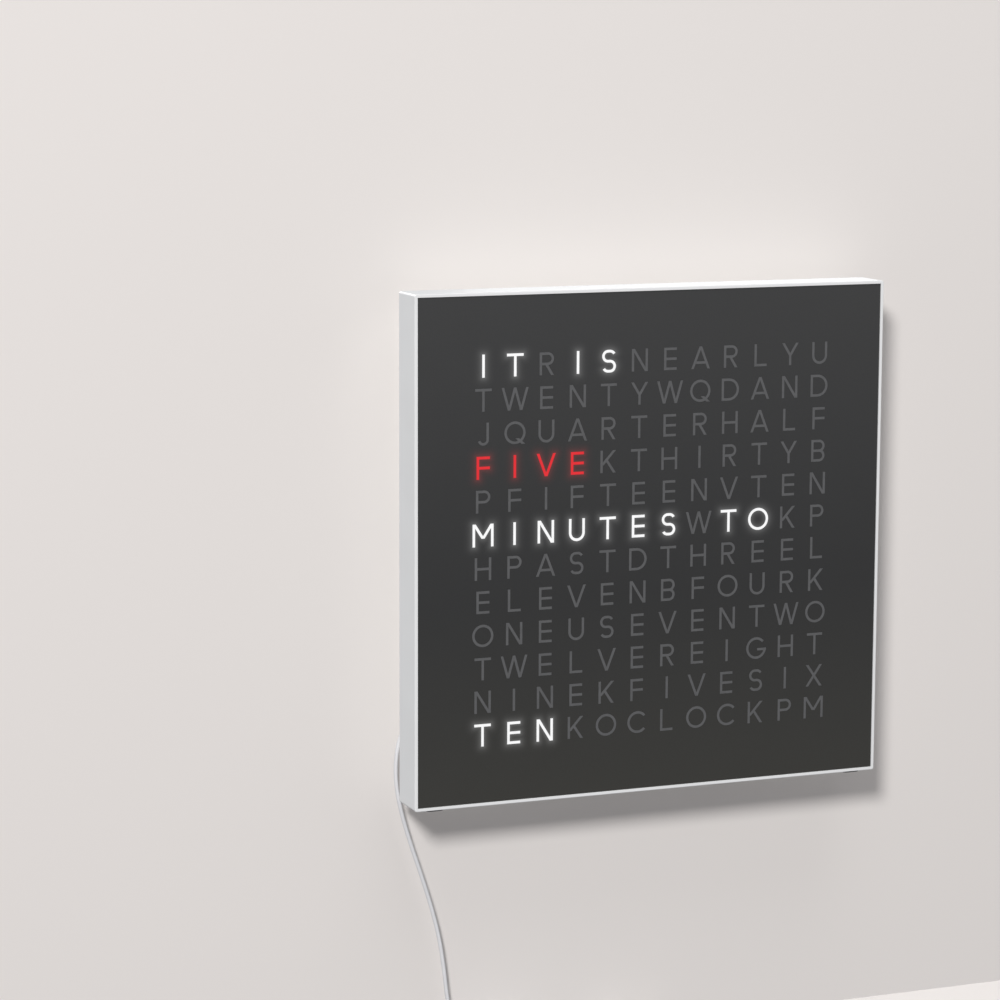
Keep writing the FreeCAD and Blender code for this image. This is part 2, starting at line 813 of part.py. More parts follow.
def rear_cover():
    """Plate and bay in one moulding, with keyhole, button recess, battery opening and the jack's hole."""
    plate = block(0, 0, inner_w - 2 * cover_gap, inner_h - 2 * cover_gap, y_cover_in, y_cover)
    bay = block(0, 0, bay_w, bay_h, y_cover, 0, bay_r)
    bay = bay.makeFillet(bay_edge_r, edges_at(bay, 0))
    made = joined([plate, bay])
    made = made.cut(block(0, 0, bay_in_w, bay_in_h, y_cover_in, y_bay_in, bay_r - bay_wall))
    places = button_places()
    z = places[0][1]
    left, right = places[-1][0], places[0][0]
    recess_r = button_r + button_recess_margin
    pad = slot_outline(left, right, z, recess_r + bay_wall, y_recess - bay_wall, y_bay_in)
    made = joined([made, pad, keyhole_cup(), *door_rails()])
    made = made.cut(slot_outline(left, right, z, recess_r, y_recess, 0))
    for x, z in places:
        made = made.cut(rod(x, z, button_r + button_gap, y_recess - bay_wall, y_recess))
    posts = []
    for x, z in ctrl_post_places():
        posts.append(rod(x, z, ctrl_post_r, y_ctrl_back, y_bay_in))
    made = joined([made] + posts + button_marks())
    y_bore_end = y_ctrl_back + board_screw_length - board_t + post_bore_extra
    for x, z in ctrl_post_places():
        made = made.cut(rod(x, z, board_screw_r + thread_gap, y_ctrl_back, y_bore_end))
    for tool in [keyhole_cut(), door_cut(), jack_hole(), label_recess()]:
        made = made.cut(tool)
    for x, z in cover_screw_places():
        made = made.cut(rod(x, z, cover_screw_r + fit_gap, y_cover_in, y_cover))
        place = V(x, y_cover - cover_head_t, z)
        r0, r1 = cover_screw_r + thread_gap, cover_head_r + thread_gap
        made = made.cut(Part.makeCone(r0, r1, cover_head_t, place, V(0, 1, 0)))
    save("rear_cover", [made])


def keyhole_z():
    return bay_h / 2 - key_from_top


def keyhole_cut():
    """Round entry for a screw's head, and the slot above it for its shank."""
    z = keyhole_z()
    entry = rod(0, z, key_entry_r, y_bay_in, 0)
    slot = block(0, z + key_rise / 2, 2 * key_slot_r, key_rise, y_bay_in, 0)
    return joined([entry, slot, rod(0, z + key_rise, key_slot_r, y_bay_in, 0)])


def keyhole_cup():
    """Closed cup on the inside of the bay's wall, behind the keyhole."""
    z = keyhole_z() + key_rise / 2
    y_cup = y_bay_in - cup_depth
    outer = block(0, z, cup_w + 2 * cup_wall, cup_h + 2 * cup_wall, y_cup - cup_wall, y_bay_in, 2 * cup_wall)
    return outer.cut(block(0, z, cup_w, cup_h, y_cup, y_bay_in, cup_wall))


def door_rails():
    """Two rails under the bay's wall, which hold the door's tongues."""
    made = []
    y_foot = y_bay_in - door_gap - tongue_t - door_gap
    for way in (-1, 1):
        inside = door_z + way * (door_h / 2 + door_gap)
        tongue_side = door_z + way * (door_h / 2 + tongue_w + door_gap)
        outside = tongue_side + way * rail_t
        x0, x1 = door_x0, bay_x1 - bay_wall
        for z0, y1 in ((tongue_side, y_bay_in), (inside, y_foot)):
            made.append(box(x0, x1, y_foot - rail_t, y1, min(z0, outside), max(z0, outside)))
    return made


def door_cut():
    """Opening for the battery door in the bay's wall and out through its side."""
    upper = box(door_x0, bay_x1, y_bay_in, 0, door_z - door_h / 2, door_z + door_h / 2)
    reach = door_h / 2 + tongue_w + door_gap
    y_low = y_bay_in - 2 * door_gap - tongue_t
    return upper.fuse(box(bay_x1 - bay_wall, bay_x1, y_low, y_bay_in, door_z - reach, door_z + reach))


def jack_hole():
    return rod_x(y_jack, jack_z, jack_nose_r + jack_nose_gap, bay_x0, bay_in_x0)


def label_recess():
    """Shallow blank place where a rating label would be."""
    return block(0, label_up, label_w, label_h, -label_depth, 0, label_r)


def button_marks():
    """Raised marks above the buttons: H for hours, M for minutes and a small sun for the dimmer."""
    made = []
    for (x, z), name in zip(button_places(), BUTTONS):
        place = V(x, y_recess, z + mark_up)
        if name == "dimmer":
            disc = Part.makeCylinder(sun_r, mark_t, place, V(0, 1, 0))
            rays = []
            for i in range(mark_rays):
                ray = box(ray_start, ray_end, 0, mark_t, -ray_w / 2, ray_w / 2)
                ray.rotate(V(0, 0, 0), V(0, 1, 0), 360 / mark_rays * i)
                rays.append(moved(ray, place))
            made += [disc] + rays
        else:
            face = letter_face(name[0].upper(), mark_cap, mark_stroke)
            made.append(moved(face.mirror(V(0, 0, 0), V(1, 0, 0)), place).extrude(V(0, mark_t, 0)))
    return made


def battery_door():
    """Sliding door: a plate flush with the bay, tongues that run in the rails, and grip lines."""
    x0, x1 = door_x0 + door_gap, bay_x1
    half = door_h / 2 - door_gap
    plate = box(x0, x1, y_bay_in, 0, door_z - half, door_z + half)
    y_top = y_bay_in - door_gap
    web = box(x0, x1, y_top - tongue_t, y_bay_in, door_z - half, door_z + half)
    reach = half + tongue_w
    tongues = box(x0 - tongue_w, x1, y_top - tongue_t, y_top, door_z - reach, door_z + reach)
    made = joined([plate, web, tongues])
    for i in range(grip_count):
        x = x1 - grip_inset - i * grip_spacing
        made = made.cut(block(x, door_z, grip_w, grip_length, -grip_depth, 0, grip_r))
    save("battery_door", [made])


def buttons():
    """Caps with a dished top and a rim inside the cover, each over the plunger of its switch."""
    switches = []
    for (x, z), name in zip(button_places(), BUTTONS):
        y_top = y_recess + button_rise
        cap_body = rod(x, z, button_r, y_plunger, y_top)
        cap_body = cap_body.makeFillet(button_edge_r, edges_at(cap_body, y_top))
        cap_body = joined([cap_body, rod(x, z, button_r + button_rim, y_plunger, y_button_rim)])
        dish = Part.makeSphere(button_dish_r, V(x, y_top + button_dish_r - button_dish_depth, z))
        save(name + "_button", [cap_body.cut(dish)])
        save(name + "_plunger", [rod(x, z, plunger_r, y_switch - plunger_sunk, y_plunger)])
        body = block(x, z, switch_size, switch_size, y_ctrl_back, y_switch, switch_edge_r)
        bore_depth = plunger_sunk + button_travel + plunger_room
        switches.append(body.cut(rod(x, z, plunger_r + plunger_gap, y_switch - bore_depth, y_switch)))
    save("switch_bodies", switches)


def control_board():
    """Board inside the bay with its chip, crystal and capacitors, and the screws that hold it."""
    board = box(ctrl_x0, ctrl_x1, y_ctrl, y_ctrl_back, ctrl_z0, ctrl_z1)
    for x, z in ctrl_post_places():
        board = board.cut(rod(x, z, board_screw_r + fit_gap, y_ctrl, y_ctrl_back))
    save("control_board", [board])
    save("control_board_screws", [pan_screw(x, z, y_ctrl, 1) for x, z in ctrl_post_places()])
    y_chip = y_ctrl - standoff
    save("control_chip", [block(chip_x, chip_z, chip_size, chip_size, y_chip - chip_h, y_chip)])
    y_leg = y_ctrl - chip_leg_h
    legs = []
    for i in range(chip_legs):
        along = (i - (chip_legs - 1) / 2) * chip_leg_pitch
        for way in (-1, 1):
            reach = way * (chip_size + chip_leg_reach) / 2
            legs.append(block(chip_x + reach, chip_z + along, chip_leg_reach, chip_leg_w, y_leg, y_ctrl))
            legs.append(block(chip_x + along, chip_z + reach, chip_leg_w, chip_leg_reach, y_leg, y_ctrl))
    save("control_chip_legs", legs)
    left, right = crystal_x - crystal_half, crystal_x + crystal_half
    save("crystal", [slot_outline(left, right, crystal_z, crystal_r, y_ctrl - crystal_h, y_ctrl)])
    cans = []
    y_base, y_top = y_ctrl - can_base_t, y_ctrl - can_h
    for i in range(can_count):
        x = can_x + can_spacing * i
        base = block(x, can_z, can_base, can_base, y_base, y_ctrl, can_base_t)
        can = rod(x, can_z, can_r, y_top, y_base)
        cans.append(joined([base, can.makeFillet(can_edge_r, edges_at(can, y_top))]))
    save("capacitors", cans)


def driver_chips():
    """Chips on the back of the lights' board, each with two rows of legs."""
    bodies, legs = [], []
    for i in range(driver_columns):
        for j in range(driver_rows):
            x = (i - (driver_columns - 1) / 2) * driver_spacing
            z = driver_low_z + j * driver_row_spacing
            y0 = y_lights_back
            y1 = y0 + standoff
            bodies.append(block(x, z, driver_length, driver_width, y1, y1 + driver_h))
            for k in range(driver_pins):
                leg_x = x + (k - (driver_pins - 1) / 2) * driver_pitch
                for way in (-1, 1):
                    leg_z = z + way * (driver_width + driver_leg_reach) / 2
                    legs.append(block(leg_x, leg_z, driver_leg_w, driver_leg_reach, y0, y0 + driver_leg_h))
    save("driver_chips", bodies)
    save("driver_chip_legs", legs)


def ribbon():
    """Flat cable between a header on each board, with an easy bend in it."""
    y_upper, y_lower = y_lights_back + header_h / 2, y_ctrl - header_h / 2
    headers = []
    for z, y0, way in ((header_upper_z, y_lights_back, -1), (header_lower_z, y_ctrl - header_h, 1)):
        body = block(ribbon_x, z, header_w, header_l, y0, y0 + header_h)
        mouth_z = z + way * (header_l - header_mouth) / 2
        mouth_w = ribbon_w + 2 * ribbon_play
        y1 = y0 + header_h - header_wall
        headers.append(body.cut(block(ribbon_x, mouth_z, mouth_w, header_mouth, y0 + header_wall, y1)))
    save("ribbon_headers", headers)
    z_start = header_upper_z - header_l / 2 + header_mouth - ribbon_play
    z_end = header_lower_z + header_l / 2 - header_mouth + ribbon_play
    bend_low, bend_high = z_end + ribbon_lead, z_start - ribbon_lead
    half = ribbon_t / 2
    path = [(z_start, y_upper), (bend_high, y_upper), (bend_low, y_lower), (z_end, y_lower)]
    side = ribbon_x - ribbon_w / 2
    front = [V(side, y - half, z) for z, y in path]
    back = [V(side, y + half, z) for z, y in reversed(path)]
    strip = Part.Face(Part.makePolygon(front + back + front[:1])).extrude(V(ribbon_w, 0, 0))
    across = edges_along(strip, V(1, 0, 0))
    folds = [e for e in across if bend_low - half < e.BoundBox.ZMin < bend_high + half]
    save("ribbon_cable", [strip.makeFillet(ribbon_bend_r, folds)])


def battery():
    """Coin cell in its holder, over one contact and under the other."""
    x, z = cell_x, door_z
    y_base = y_ctrl_back + holder_base
    y_cell = y_base + contact_t
    ring_r = cell_r + holder_gap
    tray = rod(x, z, ring_r + holder_wall, y_ctrl_back, y_cell + holder_rise)
    tray = tray.cut(rod(x, z, ring_r, y_base, y_cell + cell_t))
    side = x - ring_r - holder_wall
    tray = tray.cut(box(side, x, y_base, y_cell + cell_t, z - holder_slot / 2, z + holder_slot / 2))
    save("cell_holder", [tray])
    save("cell_base_contact", [rod(x, z, contact_r, y_base, y_cell)])
    cell = rod(x, z, cell_r, y_cell, y_cell + cell_t)
    save("coin_cell", [cell.makeFillet(cell_edge_r, edges_at(cell, y_cell + cell_t))])
    post_x = side - contact_t - clip_gap
    y_clip = y_cell + cell_t
    clip = joined([
        box(post_x, post_x + contact_t, y_ctrl_back, y_clip + contact_t, z - clip_w / 2, z + clip_w / 2),
        box(post_x, x - contact_r, y_clip, y_clip + contact_t, z - clip_w / 2, z + clip_w / 2),
    ])
    save("cell_clip", [clip])


def jack_and_plug():
    """Power jack with its pin, and the lead's plug pushed into it."""
    x_in = bay_in_x0 + fit_gap
    x_end, y_end = x_in + jack_length, y_ctrl_back + jack_h
    body = box(x_in, x_end, y_ctrl_back, y_end, jack_z - jack_w / 2, jack_z + jack_w / 2)
    nose_x = bay_x0 + jack_nose_sunk
    bore_r = tip_r + jack_bore_gap
    made = joined([body, rod_x(y_jack, jack_z, jack_nose_r, nose_x, x_in)])
    made = made.cut(rod_x(y_jack, jack_z, bore_r, nose_x, nose_x + jack_bore_depth))
    save("power_jack", [made])
    pin = rod_x(y_jack, jack_z, jack_pin_r, nose_x + jack_pin_sunk, nose_x + jack_bore_depth)
    save("jack_pin", [pin])
    plug_x1 = bay_x0 - plug_gap
    plug_x0 = plug_x1 - plug_length
    tip = rod_x(y_jack, jack_z, tip_r, plug_x1, plug_x1 + tip_length)
    save("lead_plug_tip", [tip.cut(rod_x(y_jack, jack_z, tip_bore_r, plug_x1, plug_x1 + tip_length))])
    grip = rod_x(y_jack, jack_z, plug_r, plug_x0, plug_x1)
    ends = [e for e in grip.Edges if isinstance(e.Curve, Part.Circle)]
    grip = grip.makeFillet(plug_edge_r, ends)
    for i in range(plug_rings):
        x = plug_x0 + plug_ring_start + i * plug_ring_spacing
        core = rod_x(y_jack, jack_z, plug_r - relief_groove, x, x + plug_ring_w)
        grip = grip.cut(rod_x(y_jack, jack_z, plug_r, x, x + plug_ring_w).cut(core))
    save("lead_plug_body", [grip])
    save("lead_strain_relief", [strain_relief(plug_x0, -1, y_jack, jack_z, relief_r, relief_length)])


def strain_relief(x, way, y, z, radius, length):
    """Tapered sleeve from a plug at x to the cord, with rings cut into it."""
    axis = V(way, 0, 0)
    made = Part.makeCone(radius, relief_end_r, length, V(x, y, z), axis)
    for i in range(relief_rings):
        share = relief_first + relief_spread * i / relief_rings
        place = V(x + way * length * share, y, z)
        core_r = radius + (relief_end_r - radius) * share - relief_groove
        ring = Part.makeCylinder(radius, relief_ring_w, place, axis)
        made = made.cut(ring.cut(Part.makeCylinder(core_r, relief_ring_w, place, axis)))
    return made


def tube(points, node):
    """Cord along straight runs joined by arcs, each as large as its two runs allow."""
    edges = []
    last = points[0]
    length = 0.0
    radii = []
    for before, here, after in zip(points, points[1:], points[2:]):
        back = before - here
        on = after - here
        short = min(back.Length, on.Length)
        u = V(back).normalize()
        v = V(on).normalize()
        half_turn = (math.pi - u.getAngle(v)) / 2
        trim = arc_share * short
        radius = trim / math.tan(half_turn)
        start, end = here + u * trim, here + v * trim
        inward = (u + v).normalize()
        middle = here + inward * (radius / math.cos(half_turn) - radius)
        edges += [Part.LineSegment(last, start).toShape(), Part.Arc(start, middle, end).toShape()]
        length += (start - last).Length + radius * 2 * half_turn
        radii.append(round(radius, 1))
        last = end
    edges.append(Part.LineSegment(last, points[-1]).toShape())
    length += (points[-1] - last).Length
    section = Part.Wire(Part.makeCircle(cord_r, points[0], points[1] - points[0]))
    made = Part.Wire(edges).makePipeShell([section], True, False)
    plan = math.pi * cord_r ** 2 * length
    print(node, "radii", radii, "length", round(length, 1))
    print(node, "volume against its plan", round(made.Volume / plan, 4))
    save(node, [made])
    return length


def coil_place(quarter):
    """Point and direction of the coil's centre line after a number of quarter turns."""
    span = coil_layer_quarters
    layer, into = divmod(quarter, span)
    turning = into == 0 and 0 < quarter < coil_layers * span
    inward = layer % 2 == 0
    radius = coil_out_r - coil_pitch * into / 4 if inward else coil_in_r + coil_pitch * into / 4
    slope = -coil_pitch / (2 * math.pi) if inward else coil_pitch / (2 * math.pi)
    if into == 0 and (turning or quarter in (0, coil_layers * span)):
        slope = 0.0
    climb = coil_pitch / 2 if turning else 0.0
    level = layer * coil_pitch - climb
    if quarter == coil_layers * span:
        level = (coil_layers - 1) * coil_pitch
        radius = coil_out_r
    angle = math.pi / 2 - quarter * math.pi / 2
    out = V(math.cos(angle), math.sin(angle), 0)
    along = V(math.sin(angle), -math.cos(angle), 0)
    place = V(coil_x, coil_y, coil_z + level) + out * radius
    # halfway up a climb the cord also rises by half a pitch per radian
    return place, (out * slope + along * radius + V(0, 0, climb)).normalize()


def two_arcs(p0, t0, p1, t1):
    """Two arcs that meet smoothly, from one point and direction to another, as three points each."""
    gap = p1 - p0
    both = t0 + t1
    bend = 2 * (1 - t0.dot(t1))
    reach = (-gap.dot(both) + math.sqrt(gap.dot(both) ** 2 + bend * gap.dot(gap))) / bend
    join = (p0 + t0 * reach + p1 - t1 * reach) / 2

    def halfway(start, direction, end):
        chord = end - start
        flat = V(chord).normalize()
        side = direction - flat * direction.dot(flat)
        turn = math.atan2(side.Length, direction.dot(flat))
        return start + chord / 2 + V(side).normalize() * (chord.Length / 2 * math.tan(turn / 2))

    return [(p0, halfway(p0, t0, join), join), (join, halfway(p1, t1 * -1, join), p1)]


def coil():
    """Put-away length of the cord, wound in layers as one unbroken tube, and the tie that holds it."""
    start, first = coil_place(0)
    end, last = coil_place(coil_layers * coil_layer_quarters)
    edges = [Part.LineSegment(start - first * coil_lead, start).toShape()]
    for quarter in range(coil_layers * coil_layer_quarters):
        p0, t0 = coil_place(quarter)
        p1, t1 = coil_place(quarter + 1)
        edges += [Part.Arc(*points).toShape() for points in two_arcs(p0, t0, p1, t1)]
    edges.append(Part.LineSegment(end, end + last * coil_lead).toShape())
    path = Part.Wire(edges)
    section = Part.Wire(Part.makeCircle(cord_r, start - first * coil_lead, first))
    made = path.makePipeShell([section], True, False)
    plan = math.pi * cord_r ** 2 * path.Length
    print("coil length", round(path.Length, 1), "volume against its plan", round(made.Volume / plan, 4))
    print("coil's least gap to itself", round(least_gap(edges), 2))
    save("cord_coil", [made])
    middle_z = (coil_z + coil_top_z) / 2
    reach_r = (coil_out_r - coil_in_r) / 2 + cord_r + tie_gap
    reach_z = (coil_top_z - coil_z) / 2 + cord_r + tie_gap
    x0, x1 = coil_x - tie_w / 2, coil_x + tie_w / 2
    mid_y = coil_y - coil_mean_r
    out_r, out_z = reach_r + tie_t, reach_z + tie_t
    outer = box(x0, x1, mid_y - out_r, mid_y + out_r, middle_z - out_z, middle_z + out_z)
    outer = outer.makeFillet(tie_r, edges_along(outer, V(1, 0, 0)))
    inner = box(x0, x1, mid_y - reach_r, mid_y + reach_r, middle_z - reach_z, middle_z + reach_z)
    inner = inner.makeFillet(tie_r - tie_t, edges_along(inner, V(1, 0, 0)))
    save("cord_tie", [outer.cut(inner)])
    return path.Length


def least_gap(edges):
    """Smallest clear distance between parts of the coil that lie more than half a turn apart along it."""
    points = []
    travelled = 0.0
    for edge in edges:
        count = max(2, int(edge.Length / gap_sample_step))
        for i in range(count):
            share = i / count
            at = edge.FirstParameter + share * (edge.LastParameter - edge.FirstParameter)
            points.append((travelled + share * edge.Length, edge.valueAt(at)))
        travelled += edge.Length
    half_turn = math.pi * coil_in_r
    least = 1e9
    for i, (s, p) in enumerate(points):
        for t, q in points[i + 1:]:
            if t - s > half_turn:
                least = min(least, p.distanceToPoint(q))
    return least - 2 * cord_r


def far_plug():
    """Plug at the cord's far end, lying beside the coil."""
    x0 = usb_x + usb_relief_l
    x1 = x0 + usb_body_l
    x2 = x1 + usb_shell_l
    save("usb_strain_relief", [strain_relief(x0, -1, usb_y, usb_z, usb_relief_r, usb_relief_l)])
    half_w, half_h = usb_body_w / 2, usb_body_h / 2
    body = box(x0, x1, usb_y - half_w, usb_y + half_w, usb_z - half_h, usb_z + half_h)
    body = body.makeFillet(usb_body_r, edges_along(body, V(1, 0, 0)))
    save("usb_plug_body", [body])
    w, h = usb_shell_w / 2, usb_shell_h / 2
    shell = box(x1, x2, usb_y - w, usb_y + w, usb_z - h, usb_z + h)
    shell = shell.makeFillet(usb_shell_r, edges_along(shell, V(1, 0, 0)))
    t = usb_shell_t
    shell = shell.cut(box(x1, x2, usb_y - w + t, usb_y + w - t, usb_z - h + t, usb_z + h - t))
    window_x = x1 + usb_window_x
    for way in (-1, 1):
        y = usb_y + way * usb_window_y
        y0, y1 = y - usb_window / 2, y + usb_window / 2
        shell = shell.cut(box(window_x, window_x + usb_window, y0, y1, usb_z - h, usb_z + h))
    save("usb_plug_shell", [shell])
    top = usb_z - h + t + usb_tongue_t
    tongue = box(x1, x2 - usb_tongue_short, usb_y - w + t, usb_y + w - t, usb_z - h + t, top)
    save("usb_plug_tongue", [tongue])
    contacts = []
    for i in range(usb_contacts):
        y = usb_y + (i - (usb_contacts - 1) / 2) * usb_contact_pitch
        half_w = usb_contact_w / 2
        contacts.append(box(x1, x2 - usb_contact_short, y - half_w, y + half_w, top, top + usb_contact_t))
    save("usb_plug_contacts", contacts)


def feet():
    """Two rubber pads under the bottom wall."""
    y = y_rim + casing_depth / 2
    made = []
    for way in (-1, 1):
        x = way * (width / 2 - foot_inset - foot_w / 2)
        z = -height / 2
        pad = box(x - foot_w / 2, x + foot_w / 2, y - foot_l / 2, y + foot_l / 2, z - foot_t, z)
        made.append(pad.makeFillet(foot_r, edges_along(pad, V(0, 0, 1))))
    save("rubber_feet", made)


os.makedirs("parts", exist_ok=True)
casing()
face_and_letters()
layers()
driver_chips()
ribbon()
control_board()
buttons()
battery()
jack_and_plug()
rear_cover()
battery_door()
cover_screws()
feet()
cord_length = tube(HANGING_ROUTE, "cord_hanging") + coil() + tube(TAIL_ROUTE, "cord_tail")
far_plug()
print("cord length", round(cord_length, 1))
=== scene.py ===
import math

import bmesh
import bpy
from mathutils import Matrix, Vector
from mathutils.bvhtree import BVHTree


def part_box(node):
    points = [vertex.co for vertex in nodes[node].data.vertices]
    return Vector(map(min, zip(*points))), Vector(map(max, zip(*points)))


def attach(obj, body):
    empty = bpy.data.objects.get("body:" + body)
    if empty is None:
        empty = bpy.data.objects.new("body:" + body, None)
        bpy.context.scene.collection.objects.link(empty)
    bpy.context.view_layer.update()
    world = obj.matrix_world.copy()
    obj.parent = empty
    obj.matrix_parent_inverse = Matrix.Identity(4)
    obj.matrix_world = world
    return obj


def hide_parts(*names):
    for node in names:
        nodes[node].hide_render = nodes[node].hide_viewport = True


# A wall clock that spells the time out in lit letters, with its lead hanging down to a tied coil.
# Sizes are in metres, in the model's own frame: the wall is y = 0, the face looks to -y and z is up.
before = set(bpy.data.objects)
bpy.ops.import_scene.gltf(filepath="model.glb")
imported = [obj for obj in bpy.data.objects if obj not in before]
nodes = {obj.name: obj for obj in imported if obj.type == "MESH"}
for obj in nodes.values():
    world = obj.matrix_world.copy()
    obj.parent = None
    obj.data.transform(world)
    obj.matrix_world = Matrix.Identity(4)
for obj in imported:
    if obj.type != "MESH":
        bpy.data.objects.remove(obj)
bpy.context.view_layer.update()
MM = 0.001

# Places of the lead's turns, as the model has them
FLOOR_Z = -262.0 * MM
CORD_R = 1.0 * MM
CORD_Y = -4.8 * MM
EXIT = Vector((-103.0, -5.75, -83.8)) * MM
COIL_X = -68.0 * MM
COIL_LAYERS = 4
LAYER_QUARTERS = 17
COIL_PITCH = 2.5 * MM
COIL_MEAN_R = 12.0 * MM
COIL_SPREAD = LAYER_QUARTERS / 4 * COIL_PITCH / 2
COIL_OUT_R = COIL_MEAN_R + COIL_SPREAD
COIL_IN_R = COIL_MEAN_R - COIL_SPREAD
COIL_Y = CORD_Y - COIL_OUT_R
TIE_T = 0.9 * MM
TIE_GAP = 0.35 * MM
COIL_Z = FLOOR_Z + TIE_T + TIE_GAP + CORD_R
COIL_TOP_Z = COIL_Z + (COIL_LAYERS - 1) * COIL_PITCH
COIL_LEAD = 2 * CORD_R
USB_PLACE = Vector((-28.0, -13.0, -257.9)) * MM
POINTS_PER_QUARTER = 4
LETTER_PITCH = 16.6 * MM

# Route from the strain relief to the coil, and from the coil to the far plug
HANGING_ROUTE = [
    EXIT,
    Vector((-112.5, -5.75, -84.4)) * MM,
    Vector((-119.6, -5.6, -88.6)) * MM,
    Vector((-124.0, -5.4, -96.8)) * MM,
    Vector((-125.8, -5.2, -107.8)) * MM,
    Vector((-125.6, -5.1, -120.4)) * MM,
    Vector((-122.8, -5.0, -134.6)) * MM,
    Vector((-118.0, -5.0, -150.6)) * MM,
    Vector((-112.2, -5.0, -167.4)) * MM,
    Vector((-106.8, -4.9, -184.2)) * MM,
    Vector((-102.4, -4.9, -201.0)) * MM,
    Vector((-99.8, -4.9, -217.6)) * MM,
    Vector((-98.2, -4.8, -232.6)) * MM,
    Vector((-95.6, -4.8, -244.6)) * MM,
    Vector((-90.4, -4.8, -253.6)) * MM,
    Vector((-82.4 * MM, CORD_Y, COIL_Z + 1.0 * MM)),
    Vector((COIL_X - COIL_LEAD - 5.0 * MM, CORD_Y, COIL_Z)),
    Vector((COIL_X - COIL_LEAD, CORD_Y, COIL_Z)),
]
TAIL_ROUTE = [
    Vector((COIL_X + COIL_LEAD, CORD_Y, COIL_TOP_Z)),
    Vector((COIL_X + 9.0 * MM, CORD_Y - 0.1 * MM, COIL_TOP_Z - 0.2 * MM)),
    Vector((COIL_X + 17.0 * MM, CORD_Y - 2.2 * MM, COIL_TOP_Z - 2.2 * MM)),
    Vector((COIL_X + 25.0 * MM, USB_PLACE.y + 2.4 * MM, USB_PLACE.z + 1.6 * MM)),
    Vector((COIL_X + 33.0 * MM, USB_PLACE.y, USB_PLACE.z)),
    USB_PLACE,
]

# Camera: an upright look at the face from its left and a little above
CAMERA_PLACE = Vector((-0.6603, -1.4672, 0.2572))
CAMERA_AZIMUTH = math.radians(-21.98)
CAMERA_ELEVATION = math.radians(8.54)
CAMERA_ROLL = math.radians(0.20)
CAMERA_LENS = 115.2
CAMERA_SENSOR = 36.0

# Light: a broad lamp at the upper left of the face, and soft ones that fill the other sides.
# Each has its azimuth and elevation in degrees, its distance and disc size in metres, and its watts.
AIM = Vector((0.0, -0.02, 0.0))
LAMPS = [
    ("key_lamp", -33.9, 29.0, 4.5, 0.82, 152.0),
    ("top_lamp", 10.0, 72.0, 2.4, 1.4, 12.0),
    ("right_fill", 58.0, 12.0, 3.4, 2.4, 8.0),
    ("back_lamp", 205.0, 34.0, 2.6, 1.6, 38.0),
    ("back_fill", 140.0, 8.0, 3.0, 2.2, 14.0),
]
WORLD_COLOUR = (0.95, 0.96, 1.0)
WORLD_STRENGTH = 0.31

# Wall and floor
STAGE_SIZE = 9.0
WALL_GAP = 0.3 * MM
STAGE_COLOUR = (0.765, 0.722, 0.692)

# Half of the clock's height, up which the face's painted reflection changes its shade
CLOCK_HALF = 127.0 * MM

# Flat cable: pitch of its wires, and width of the coloured one at its edge
WIRE_PITCH = 1.27 * MM
COLOURED_EDGE = 1.2 * MM

# Light that spreads in the face round a lit letter
GLOW_REACH = 6.0 * MM
GLOW_STEP = 0.9 * MM
GLOW_FADE = 1.9 * MM
WHITE_SPREAD = (0.085, 0.085, 0.085)
RED_SPREAD = (0.09, 0.006, 0.006)
MERGE = 0.001 * MM


def add(tree, kind, sockets, **settings):
    """New shader node, with values or other nodes' outputs at its sockets."""
    made = tree.nodes.new("ShaderNode" + kind)
    for name, value in settings.items():
        setattr(made, name, value)
    for name, value in sockets.items():
        if isinstance(value, bpy.types.NodeSocket):
            tree.links.new(value, made.inputs[name])
        else:
            made.inputs[name].default_value = value
    return made


def noise(tree, coords, size, detail=3.0, stretch=(1.0, 1.0, 1.0)):
    """Noise whose blotches are about a size across."""
    place = coords
    if stretch != (1.0, 1.0, 1.0):
        place = add(tree, "Mapping", {"Vector": coords, "Scale": stretch}).outputs["Vector"]
    return add(tree, "TexNoise", {"Vector": place, "Scale": 1.0 / size, "Detail": detail}).outputs["Fac"]


def between(tree, factor, low, high):
    """Number that goes from low to high with a factor."""
    sockets = {"Value": factor, "From Min": 0.3, "From Max": 0.7, "To Min": low, "To Max": high}
    return add(tree, "MapRange", sockets).outputs["Result"]


def shades(tree, factor, dark, light):
    """Colour that goes from a dark shade to a light one with a factor."""
    ramp = add(tree, "ValToRGB", {"Fac": factor})
    ramp.color_ramp.elements[0].position = 0.3
    ramp.color_ramp.elements[0].color = (*dark, 1.0)
    ramp.color_ramp.elements[1].position = 0.7
    ramp.color_ramp.elements[1].color = (*light, 1.0)
    return ramp.outputs["Color"]


def scaled(colour, factor):
    return tuple(min(1.0, channel * factor) for channel in colour)


def surface(name, **sockets):
    """Material with one shader, its node tree and its object coordinates."""
    made = bpy.data.materials.new(name)
    made.use_nodes = True
    tree = made.node_tree
    shader = tree.nodes["Principled BSDF"]
    for socket, value in sockets.items():
        shader.inputs[socket.replace("_", " ")].default_value = value
    return made, tree, shader, add(tree, "TexCoord", {}).outputs["Object"]


